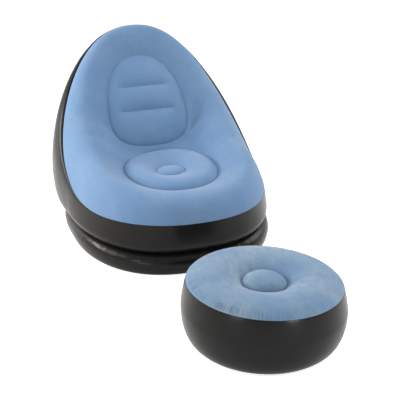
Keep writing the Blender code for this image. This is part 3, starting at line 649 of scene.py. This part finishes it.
def mixed(tree, factor, low, high, from_low, from_high):
    """Two colours mixed by a value that is first spread from its useful range."""
    spreader = tree.nodes.new("ShaderNodeMapRange")
    spreader.inputs["From Min"].default_value = from_low
    spreader.inputs["From Max"].default_value = from_high
    link(tree, factor, spreader.inputs["Value"])
    mix = tree.nodes.new("ShaderNodeMix")
    mix.data_type = "RGBA"
    link(tree, spreader.outputs["Result"], mix.inputs["Factor"])
    for socket, colour in (("A", low), ("B", high)):
        target = next(s for s in mix.inputs if s.name == socket and s.type == "RGBA")
        if isinstance(colour, tuple):
            target.default_value = (*colour, 1)
        else:
            link(tree, colour, target)
    return next(s for s in mix.outputs if s.type == "RGBA")


def bump(tree, shader, height, distance, strength, previous=None):
    node = tree.nodes.new("ShaderNodeBump")
    node.inputs["Distance"].default_value = distance
    node.inputs["Strength"].default_value = strength
    link(tree, height, node.inputs["Height"])
    if previous:
        link(tree, previous, node.inputs["Normal"])
    link(tree, node.outputs["Normal"], shader.inputs["Normal"])
    return node.outputs["Normal"]


def flock_material(name, deep, pale, mottle):
    """Short flock: two blues in soft clouds, brushed marks as shares of the deep blue, a fine nap."""
    material, tree, shader = new_material(name, deep, 0.95)
    clouds = mixed(tree, noise(tree, CLOUD_SCALE, 2), deep, pale, *CLOUD_SHARES)
    brushed = noise(tree, BRUSH_SCALE, 4, BRUSH_ROUGH_SHARE, BRUSH_STRETCH)
    marks = tuple(value * share for value, share in zip(deep, mottle))
    darker = mixed(tree, brushed, clouds, marks, *BRUSH_SHARES)
    link(tree, darker, shader.inputs["Base Color"])
    shader.inputs["Specular IOR Level"].default_value = 0.3
    shader.inputs["Sheen Weight"].default_value = 0.14
    shader.inputs["Sheen Roughness"].default_value = 0.5
    shader.inputs["Sheen Tint"].default_value = (1.0, 0.92, 0.84, 1)
    nap = bump(tree, shader, noise(tree, NAP_SCALE, 2), NAP_DEPTH, NAP_SHARE)
    bump(tree, shader, noise(tree, TUFT_SCALE, 3), TUFT_DEPTH, TUFT_SHARE, nap)
    return material


def vinyl_material(name, colour, roughness):
    """Smooth vinyl sheet with a satin gloss, very shallow waves and a fine grain."""
    material, tree, shader = new_material(name, colour, roughness)
    value = noise(tree, GLOSS_SCALE, 3)
    spreader = tree.nodes.new("ShaderNodeMapRange")
    spreader.inputs["To Min"].default_value = roughness + GLOSS_SHARES[0]
    spreader.inputs["To Max"].default_value = roughness + GLOSS_SHARES[1]
    link(tree, value, spreader.inputs["Value"])
    link(tree, spreader.outputs["Result"], shader.inputs["Roughness"])
    shader.inputs["Specular IOR Level"].default_value = 0.10
    shader.inputs["Coat Weight"].default_value = 0.08
    shader.inputs["Coat Roughness"].default_value = 0.14
    waves = bump(tree, shader, noise(tree, SHEET_WAVE_SCALE, 2), SHEET_WAVE_DEPTH, SHEET_WAVE_SHARE)
    bump(tree, shader, noise(tree, SHEET_GRAIN_SCALE, 2), SHEET_GRAIN_DEPTH, SHEET_GRAIN_SHARE, waves)
    return material


def smooth_material(name, colour, roughness):
    """Moulded soft plastic with a very fine grain."""
    material, tree, shader = new_material(name, colour, roughness)
    bump(tree, shader, noise(tree, MOULD_GRAIN_SCALE, 2), MOULD_GRAIN_DEPTH, MOULD_GRAIN_SHARE)
    return material


CHAIR_COLOURS = ((0.130, 0.242, 0.428), (0.152, 0.262, 0.434), (0.90, 0.94, 0.98))
STOOL_COLOURS = ((0.140, 0.242, 0.386), (0.208, 0.306, 0.414), (0.74, 0.84, 0.96))
CHAIR_FLOCK = flock_material("chair_flock", *CHAIR_COLOURS)
STOOL_FLOCK = flock_material("stool_flock", *STOOL_COLOURS)
BLACK_VINYL = vinyl_material("black_vinyl", (0.008, 0.008, 0.0082), 0.30)
INNER_VINYL = vinyl_material("inner_vinyl", (0.30, 0.31, 0.32), 0.45)
VALVE_VINYL = smooth_material("valve_vinyl", (0.06, 0.06, 0.063), 0.45)

# Each sheet's material slot, material and thickness
CHAIR_BLUE = ("flocked_top", CHAIR_FLOCK, FLOCKED_SHEET)
STOOL_BLUE = ("flocked_top", STOOL_FLOCK, FLOCKED_SHEET)
BLACK = ("black_vinyl", BLACK_VINYL, VINYL_SHEET)


def valve_frame(prefix):
    """Place of a valve on its wall's face: Z points out, X down the wall."""
    joints = {joint["name"]: joint for joint in frame["joints"]}
    out = Vector(joints[prefix + "valve_plug_pull"]["axis"])
    across = Vector(joints[prefix + "valve_cap_hinge"]["axis"])
    down = across.cross(out)
    hinge = Vector(joints[prefix + "valve_cap_hinge"]["pos_m"])
    middle = hinge - down * HINGE_PLACE - out * (CAP_LOW + STRAP_THICKNESS / 2)
    return Matrix.Translation(middle) @ Matrix((down, across, out)).transposed().to_4x4()


def level_round(points, valve):
    """Levels a wall round its valve, so that the flange lies flat on it."""
    turn = np.array(valve.to_3x3())
    local = (points - np.array(valve.translation)) @ turn
    radius = np.linalg.norm(local[..., :2], axis=-1)
    near = 1 - smooth_step(radius, VALVE_FLAT_RADIUS, VALVE_FADE_RADIUS)
    near = near * (np.abs(local[..., 2]) < VALVE_FADE_RADIUS)
    return points - turn[:, 2] * (local[..., 2] * near)[..., None]


def rounded(profile, closed):
    """A profile whose corners are rounded off; an open one keeps its two ends."""
    points = np.array(profile)
    count = len(points)
    found = []
    for index in range(count):
        corner = points[index]
        if not closed and index in (0, count - 1):
            found.append(corner)
            continue
        arms = []
        for other in (points[index - 1], points[(index + 1) % count]):
            length = np.linalg.norm(other - corner)
            arms.append(corner + (other - corner) * min(VALVE_ROUNDING / length, CORNER_SHARE))
        found.extend(bezier([arms[0], corner, arms[1]], share) for share in spread(0, 1, 3))
    return found + found[:1] if closed else found


def turned(name, valve, profile, closed, soft=True, blocks=()):
    """A profile of (radius, height) points, turned round a valve's axis."""
    angles = 2 * math.pi * np.arange(VALVE_SIDES) / VALVE_SIDES
    rows = []
    for radius, height in rounded(profile, closed) if soft else profile:
        ring = (radius * np.cos(angles), radius * np.sin(angles), np.full(VALVE_SIDES, height))
        ring = np.stack(ring, axis=-1)
        rows.append(ring @ np.array(valve.to_3x3()).T + np.array(valve.translation))
    mesh = new_mesh(name, [(np.stack(rows), True)], [(valve, low, high) for low, high in blocks])
    shape = bmesh.new()
    shape.from_mesh(mesh)
    bmesh.ops.recalc_face_normals(shape, faces=shape.faces)
    shape.to_mesh(mesh)
    shape.free()
    return mesh


def make_valve(prefix, body, valve):
    """Welded seat, plug, one-way flap and cap of an air valve."""
    seat = [
        (NECK_BORE, NECK_LIP),
        (NECK_RADIUS, NECK_LIP),
        (NECK_RADIUS, FLANGE_HIGH),
        (FLANGE_RADIUS, FLANGE_HIGH),
        (FLANGE_RADIUS, FLANGE_LOW),
        (NECK_RADIUS, FLANGE_LOW),
        (NECK_RADIUS, -NECK_DEPTH),
        (NECK_BORE, -NECK_DEPTH),
    ]
    plug = [
        (PLUG_BORE, PLUG_RIM_HIGH),
        (PLUG_RIM_RADIUS, PLUG_RIM_HIGH),
        (PLUG_RIM_RADIUS, PLUG_RIM_LOW),
        (PLUG_RADIUS, PLUG_RIM_LOW),
        (PLUG_RADIUS, -PLUG_DEPTH),
        (PLUG_BORE, -PLUG_DEPTH),
    ]
    cap = [
        (0, CAP_HIGH),
        (CAP_RADIUS, CAP_HIGH),
        (CAP_RADIUS, CAP_LOW),
        (STUB_TOP_RADIUS, CAP_LOW),
        (STUB_END_RADIUS, CAP_LOW - STUB_DEPTH),
        (0, CAP_LOW - STUB_DEPTH),
    ]
    flap_high = -PLUG_DEPTH - SHEET_GAP
    flap_low = flap_high - FLAP_THICKNESS
    flap = [(0, flap_high), (FLAP_RADIUS, flap_high), (FLAP_RADIUS, flap_low), (0, flap_low)]
    tongue_low = (PLUG_RADIUS, -TONGUE_WIDTH / 2, PLUG_RIM_LOW)
    tongue_high = (PLUG_RIM_RADIUS + TONGUE_LENGTH, TONGUE_WIDTH / 2, PLUG_RIM_HIGH)
    strap_low = (STUB_TOP_RADIUS, -STRAP_WIDTH / 2, CAP_LOW)
    strap_high = (HINGE_PLACE + STRAP_THICKNESS / 2, STRAP_WIDTH / 2, CAP_LOW + STRAP_THICKNESS)
    for name, holder, profile, closed, blocks in (
        ("seat", body, seat, True, ()),
        ("plug", prefix + "plug", plug, True, [(tongue_low, tongue_high)]),
        ("cap", prefix + "cap", cap, False, [(strap_low, strap_high)]),
        ("flap", prefix + "flap", flap, False, ()),
    ):
        mesh = turned(prefix + "valve_" + name, valve, profile, closed, blocks=blocks)
        shown = prefix + "air_valve_" + name
        add_piece(shown, mesh, holder, prefix + "valve_" + name, "valve_plastic", VALVE_VINYL)


def press_fold(mesh):
    """The crease where the right arm runs up against the back; the arm swells beyond it."""
    points = mesh_points(mesh)
    low = np.array(FOLD_LOW)
    run = np.array(FOLD_HIGH) - low
    length = np.linalg.norm(run)
    along = (points - low) @ run / length**2
    normals = mesh_normals(mesh)
    middle = np.argmin(np.linalg.norm(points - low - run / 2, axis=1))
    across = unit(np.cross(run / length, unit(normals[middle])))
    aside = (points - low) @ across
    if across[1] > 0:
        aside = -aside
    width = np.where(aside > 0, FOLD_ARM_WIDTH, FOLD_BACK_WIDTH)
    sink = FOLD_DEPTH * np.exp(-(np.hypot(aside, FOLD_EDGE) - FOLD_EDGE) / width)
    swell = FOLD_SWELL * (1 - np.exp(-np.maximum(aside, 0) / FOLD_SWELL_WIDTH))
    fade = smooth_step(along, *FOLD_START_SHARES) * (1 - smooth_step(along, *FOLD_END_SHARES))
    near = np.linalg.norm(points - (low + run * np.clip(along, 0, 1)[:, None]), axis=1)
    fade = fade * (1 - smooth_step(near, *FOLD_REACHES))
    rim = KDTree(len(points))
    for index in np.flatnonzero(rim_mask(mesh)):
        rim.insert(points[index], index)
    rim.balance()
    for index in np.flatnonzero(fade > 0):
        fade[index] *= smooth_step(rim.find(points[index])[2], FOLD_RIM_CLEAR, FOLD_RIM_MARGIN)
    moved = points + normals * ((swell - sink) * fade)[:, None]
    set_mesh_points(mesh, moved)


def make_top_panel():
    roll = np.stack([roll_ring(share) for share in edged(0, 1, PANEL_ROWS)])
    seat_angles = spread(SEAT_CORNER_ANGLE, math.pi, THROAT_ARC_STEPS)
    back_angles = spread(BACK_CORNER_ANGLE, 0, THROAT_ARC_STEPS)
    throat = []
    for share in edged(0, 1, THROAT_STATIONS):
        half = throat_points(share, seat_angles, back_angles)
        throat.append(np.concatenate((mirrored(half), half[-2::-1])))
    mesh = new_mesh("top_panel_sheet", [(roll, True), (np.stack(throat), False)])
    points = mesh_points(mesh)
    corner = throat_points(1 / 2, SEAT_CORNER, BACK_CORNER)[0]
    folded = np.abs(points * X) + points * (1 - X)
    away = np.linalg.norm(folded - corner, axis=1)
    weights = 1 - smooth_step(away, THROAT_SMOOTH_NEAR, THROAT_SMOOTH_FAR)
    weights[rim_mask(mesh)] = 0
    relax(mesh, weights, THROAT_SMOOTH_STEPS)
    press_fold(mesh)
    add_piece("flocked_top_panel", mesh, "chair", "top_panel", *CHAIR_BLUE, fill=PANEL_FILL_SHARE)


def make_seat():
    rear = spread(SEAT_CORNER_ANGLE, math.pi, THROAT_ARC_STEPS)
    angles = np.concatenate((spread(0, SEAT_CORNER_ANGLE, SEAT_STATIONS), rear[1:]))
    rim = whole_ring(seat_weld(angles))
    centre = np.array((0, SEAT_CENTRE_Y, SEAT_WELD_HEIGHT))
    inner = centre + unit(rim - centre) * DIMPLE_RADIUS
    turns = np.arctan2(rim[:, 0], centre[1] - rim[:, 1])
    power = round_the_chair(turns, SEAT_CROWN_POWERS)
    apart = turn_between(turns, SEAT_SAG_ANGLE)
    high = SEAT_CROWN * (1 - SEAT_SAG_SHARE * np.exp(-((apart / SEAT_SAG_SPREAD) ** 2)))
    tilt = SEAT_TILT * np.cos(turns - SEAT_TILT_ANGLE)
    high = high - tilt
    rows = []
    for share in edged(0, 1, SEAT_ROWS) ** SEAT_ROW_POWER:
        crown = high * max(0, math.sin(math.pi * share**SEAT_CROWN_SKEW)) ** power
        lift = crown + (tilt - DIMPLE_DEPTH) * share**2
        rows.append(rim + (inner - rim) * share + Z * lift[:, None])
    mesh = new_mesh("seat_pad_sheet", [(np.stack(rows), True)])
    add_piece("seat_cushion", mesh, "chair", "seat_pad", *CHAIR_BLUE, fill=1)
    top = centre - Z * DIMPLE_DEPTH
    dome = []
    for share in edged(0, 1, BUTTON_ROWS) ** BUTTON_ROW_POWER:
        height = SEAT_BUTTON_CROWN * (1 - (1 - share) ** SEAT_BUTTON_FULLNESS) ** SEAT_BUTTON_POWER
        dome.append(rows[-1] + (top - rows[-1]) * share + Z * height)
    mesh = new_mesh("seat_button_sheet", [(np.stack(dome), True)])
    add_piece("seat_tuft", mesh, "chair", "seat_button", *CHAIR_BLUE, fill=1)


def pad_height(x, y, half_width):
    across = np.maximum(0, 1 - np.abs(x / max(half_width, MERGE_DISTANCE)) ** BACK_CROWN_POWER)
    along = max(0, 1 - abs(y / BACK_HALF_LENGTH) ** BACK_CROWN_POWER)
    foot, top = BACK_EDGE_POWERS
    power = foot + (top - foot) * smooth_step(y, -BACK_HALF_LENGTH, 0)
    height = BACK_CROWN * (across * along) ** power
    for place, half in ((LOWER_GROOVE, LOWER_GROOVE_HALF), (UPPER_GROOVE, UPPER_GROOVE_HALF)):
        fade = np.maximum(0, 1 - np.abs(x / half) ** GROOVE_END_POWER)
        height = height - GROOVE_DEPTH * fade * math.exp(-abs(y - place) / GROOVE_SHOULDER)
    return np.maximum(height, 0)


def make_back_pad():
    low = spread(0, BACK_CORNER_ANGLE, THROAT_ARC_STEPS)
    rim = back_plan(np.concatenate((low, spread(BACK_CORNER_ANGLE, math.pi, BACK_STATIONS)[1:])))
    levels = np.unique(np.concatenate((rim[:, 1], (LOWER_GROOVE, UPPER_GROOVE))))
    filled = []
    for first, last in zip(levels, levels[1:]):
        filled.extend(spread(first, last, max(1, round((last - first) / BACK_ROW_STEP)))[:-1])
    rows = []
    for y in filled + [levels[-1]]:
        half = float(np.interp(y, rim[:, 1], rim[:, 0]))
        x = half * np.sin(spread(-1, 1, BACK_COLUMNS) * math.pi / 2)
        height = pad_height(x, y, half)
        height[[0, -1]] = 0
        flat = np.stack((x, np.full_like(x, y)), axis=-1)
        rows.append(on_pad_plane(flat, height))
    mesh = new_mesh("back_pad_sheet", [(np.stack(rows), False)])
    add_piece("back_cushion", mesh, "chair", "back_pad", *CHAIR_BLUE, fill=1)


def ring_shares(ring):
    """How far round a closed ring each of its points lies, and the ring's length."""
    steps = np.linalg.norm(np.roll(ring, -1, axis=0) - ring, axis=1)
    return (np.cumsum(steps) - steps) / steps.sum(), steps.sum()


def gathered(rows, outward_ring, seed):
    """A wall that ripples a little where it is drawn in at the waist, its first row."""
    shares, length = ring_shares(rows[0])
    ripple = wave(length, WALL_FOLD_WIDTH, seed)(shares)
    away = np.linalg.norm(rows - rows[0], axis=-1) / WALL_FOLD_REACH
    fade = away * np.exp(1 - away)
    return rows + outward_ring * (WALL_FOLD_HEIGHT * fade * ripple)[..., None]


def make_walls():
    out = outward(waist_plan, SEAM_ANGLES)
    out = np.concatenate((out, mirrored(out[-2:0:-1])))
    valve = valve_frame("")
    shares = edged(0, 1, UPPER_ROWS) ** UPPER_ROW_POWER
    upper = np.stack([whole_ring(upper_wall(SEAM_ANGLES, share)) for share in shares])
    upper = level_round(gathered(upper, out, UPPER_WALL_SEED), valve)
    mesh = new_mesh("upper_wall_sheet", [(upper, True)])
    add_piece("upper_wall", mesh, "chair", "upper_side_wall", *BLACK, valve=valve)
    base = np.stack([whole_ring(base_wall(SEAM_ANGLES, share)) for share in edged(0, 1, BASE_ROWS)])
    base = gathered(base[::-1], out, BASE_WALL_SEED)[::-1]
    mesh = new_mesh("base_wall_sheet", [(base, True)])
    add_piece("base_wall", mesh, "chair", "base_side_wall", *BLACK)
    make_valve("", "chair", valve)


def stool_radius(height):
    upper = np.clip((height - STOOL_WIDEST_HEIGHT) / (STOOL_SEAM_HEIGHT - STOOL_WIDEST_HEIGHT), 0, 1)
    swell = np.sqrt(1 - upper**STOOL_UPPER_POWER) ** (2 / STOOL_UPPER_POWER)
    above = STOOL_SEAM_RADIUS + (STOOL_WIDEST_RADIUS - STOOL_SEAM_RADIUS) * swell
    lower = np.clip(1 - height / STOOL_WIDEST_HEIGHT, 0, 1)
    swell = np.sqrt(1 - lower**STOOL_LOWER_POWER) ** (2 / STOOL_LOWER_POWER)
    below = STOOL_FOOT_RADIUS + (STOOL_WIDEST_RADIUS - STOOL_FOOT_RADIUS) * swell
    return np.where(height > STOOL_WIDEST_HEIGHT, above, below)


def stool_rings(profile):
    """Rings round the footstool through (radius, height) points; its top leans a little."""
    angles = 2 * math.pi * np.arange(STOOL_SIDES) / STOOL_SIDES
    rings = []
    for radius, height in profile:
        x, y = radius * np.cos(angles), radius * np.sin(angles)
        lean = (STOOL_LEAN_X * x + STOOL_LEAN_Y * y) * min(1, height / STOOL_SEAM_HEIGHT)
        rings.append(np.stack((x, y, height + lean), axis=-1) + np.array(STOOL_PLACE))
    return np.stack(rings)


def make_stool():
    seam = np.array((STOOL_SEAM_RADIUS, STOOL_SEAM_HEIGHT))
    ring = np.array((STOOL_DIMPLE_RADIUS, STOOL_DIMPLE_HEIGHT))
    well = ring + np.array((STOOL_WELL_REACH, STOOL_WELL_RISE))
    ends = [ring, well, seam + np.array((-STOOL_ROLL_LEAN, STOOL_ROLL_RISE)), seam]
    profile = np.stack([bezier(ends, share) for share in edged(0, 1, STOOL_TOP_ROWS)[::-1]])
    top = stool_rings(profile)
    angles = np.arange(STOOL_SIDES) / STOOL_SIDES
    length = 2 * math.pi * STOOL_SEAM_RADIUS
    ripple = wave(length, STOOL_PUCKER_WIDTH, PUCKER_SEED)(angles)
    patches = wave(length, length / STOOL_PUCKER_PATCHES, PATCH_SEED)(angles)
    patches = smooth_step(patches, *STOOL_PATCH_SHARES)
    apart = turn_between(2 * math.pi * angles, STOOL_PUCKER_SIDE) / STOOL_PUCKER_SPREAD
    near_side = np.exp(-(apart**STOOL_PUCKER_SIDE_POWER))
    patches = patches * (STOOL_PUCKER_REST_SHARE + (1 - STOOL_PUCKER_REST_SHARE) * near_side)
    from_seam = np.linalg.norm(profile - seam, axis=1) / STOOL_PUCKER_REACH
    fade = from_seam * np.exp(1 - from_seam)
    top[..., 2] += STOOL_PUCKER_HEIGHT * fade[:, None] * (ripple * patches)
    mesh = new_mesh("stool_top_sheet", [(top, True)])
    add_piece("footstool_top", mesh, "stool", "stool_top_panel", *STOOL_BLUE, fill=PANEL_FILL_SHARE)
    dome = []
    for share in edged(0, 1, BUTTON_ROWS) ** BUTTON_ROW_POWER:
        rise = STOOL_BUTTON_CROWN * (1 - (1 - share) ** STOOL_BUTTON_FULLNESS) ** STOOL_BUTTON_POWER
        dome.append((STOOL_DIMPLE_RADIUS * (1 - share), STOOL_DIMPLE_HEIGHT + rise))
    mesh = new_mesh("stool_button_sheet", [(stool_rings(dome), True)])
    add_piece("footstool_tuft", mesh, "stool", "stool_button", *STOOL_BLUE, fill=1)
    heights = STOOL_SEAM_HEIGHT * (1 - np.cos(math.pi * edged(0, 1, STOOL_WALL_ROWS))) / 2
    valve = valve_frame("stool_")
    wall = level_round(stool_rings(np.stack((stool_radius(heights), heights), axis=-1)), valve)
    mesh = new_mesh("stool_wall_sheet", [(wall, True)])
    add_piece("footstool_wall", mesh, "stool", "stool_side_wall", *BLACK, valve=valve)
    make_valve("stool_", "stool", valve)


def dress_packed_nodes():
    """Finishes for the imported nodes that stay: the inner sheets, the undersides and the valves."""
    looks = {"black_vinyl": BLACK_VINYL, "inner_vinyl": INNER_VINYL, "valve_plastic": VALVE_VINYL}
    for part in frame["record"]["subparts"]:
        node = frame["nodes"][part["node"]]
        if not node.hide_render and part["material_slot"] in looks:
            node.data.materials.clear()
            node.data.materials.append(looks[part["material_slot"]])


def add_area_light(name, place, target, size, energy, colour, roll):
    data = bpy.data.lights.new(name, "AREA")
    data.shape = "RECTANGLE"
    data.size, data.size_y = size
    data.energy = energy
    data.color = colour
    light = bpy.data.objects.new(name, data)
    bpy.context.scene.collection.objects.link(light)
    light.location = place
    light.rotation_mode = "QUATERNION"
    facing = (Vector(place) - Vector(target)).to_track_quat("Z", "Y")
    light.rotation_quaternion = facing @ Quaternion((0, 0, 1), roll)


def seen_directly(tree):
    """1 for what the camera sees, straight or in a glossy or clear surface, and 0 for light."""
    path = tree.nodes.new("ShaderNodeLightPath")
    seen = path.outputs["Is Camera Ray"]
    for ray in ("Is Glossy Ray", "Is Transmission Ray"):
        either = tree.nodes.new("ShaderNodeMath")
        either.operation = "MAXIMUM"
        link(tree, seen, either.inputs[0])
        link(tree, path.outputs[ray], either.inputs[1])
        seen = either.outputs["Value"]
    return seen


def make_world():
    """Soft white light all round; the camera and glossy surfaces see it as plain white."""
    world = bpy.data.worlds.new("studio")
    bpy.context.scene.world = world
    world.use_nodes = True
    tree = world.node_tree
    background = tree.nodes["Background"]
    background.inputs["Color"].default_value = (1, 1, 1, 1)
    seen = seen_directly(tree)
    spreader = tree.nodes.new("ShaderNodeMapRange")
    spreader.inputs["To Max"].default_value = 1
    link(tree, seen, spreader.inputs["Value"])
    ambient = tree.nodes.new("ShaderNodeMapRange")
    ambient.inputs["From Min"].default_value = -1
    ambient.inputs["To Min"].default_value = WORLD_FRONT
    ambient.inputs["To Max"].default_value = WORLD_BACK
    place = tree.nodes.new("ShaderNodeTexCoord")
    parts = tree.nodes.new("ShaderNodeSeparateXYZ")
    link(tree, place.outputs["Generated"], parts.inputs["Vector"])
    link(tree, parts.outputs["Y"], ambient.inputs["Value"])
    link(tree, ambient.outputs["Result"], spreader.inputs["To Min"])
    link(tree, spreader.outputs["Result"], background.inputs["Strength"])


def make_floor():
    """A plain white floor; the camera sees it nearly white, with a faint shadow."""
    mesh = bpy.data.meshes.new("floor")
    shape = bmesh.new()
    bmesh.ops.create_grid(shape, x_segments=1, y_segments=1, size=FLOOR_HALF)
    shape.to_mesh(mesh)
    shape.free()
    floor = bpy.data.objects.new("floor", mesh)
    bpy.context.scene.collection.objects.link(floor)
    material, tree, shader = new_material("floor_white", FLOOR_PAINT, 1)
    shader.inputs["Specular IOR Level"].default_value = 0
    shader.inputs["Emission Color"].default_value = (1, 1, 1, 1)
    level = tree.nodes.new("ShaderNodeMath")
    level.operation = "MULTIPLY"
    level.inputs[1].default_value = FLOOR_GLOW
    link(tree, seen_directly(tree), level.inputs[0])
    link(tree, level.outputs["Value"], shader.inputs["Emission Strength"])
    mesh.materials.append(material)


def make_studio():
    make_world()
    make_floor()
    for name, setting in LIGHTS.items():
        add_area_light(name, *setting)
    camera = bpy.data.cameras.new("camera")
    camera.lens = CAMERA_LENS
    camera.sensor_width = SENSOR_WIDTH
    viewer = bpy.data.objects.new("camera", camera)
    bpy.context.scene.collection.objects.link(viewer)
    viewer.location = CAMERA_PLACE
    viewer.rotation_euler = (math.pi / 2 - CAMERA_PITCH, 0, CAMERA_HEADING)
    bpy.context.scene.camera = viewer
    bpy.context.scene.view_settings.view_transform = "Standard"


make_top_panel()
make_seat()
make_back_pad()
make_walls()
make_stool()
dress_packed_nodes()
make_studio()
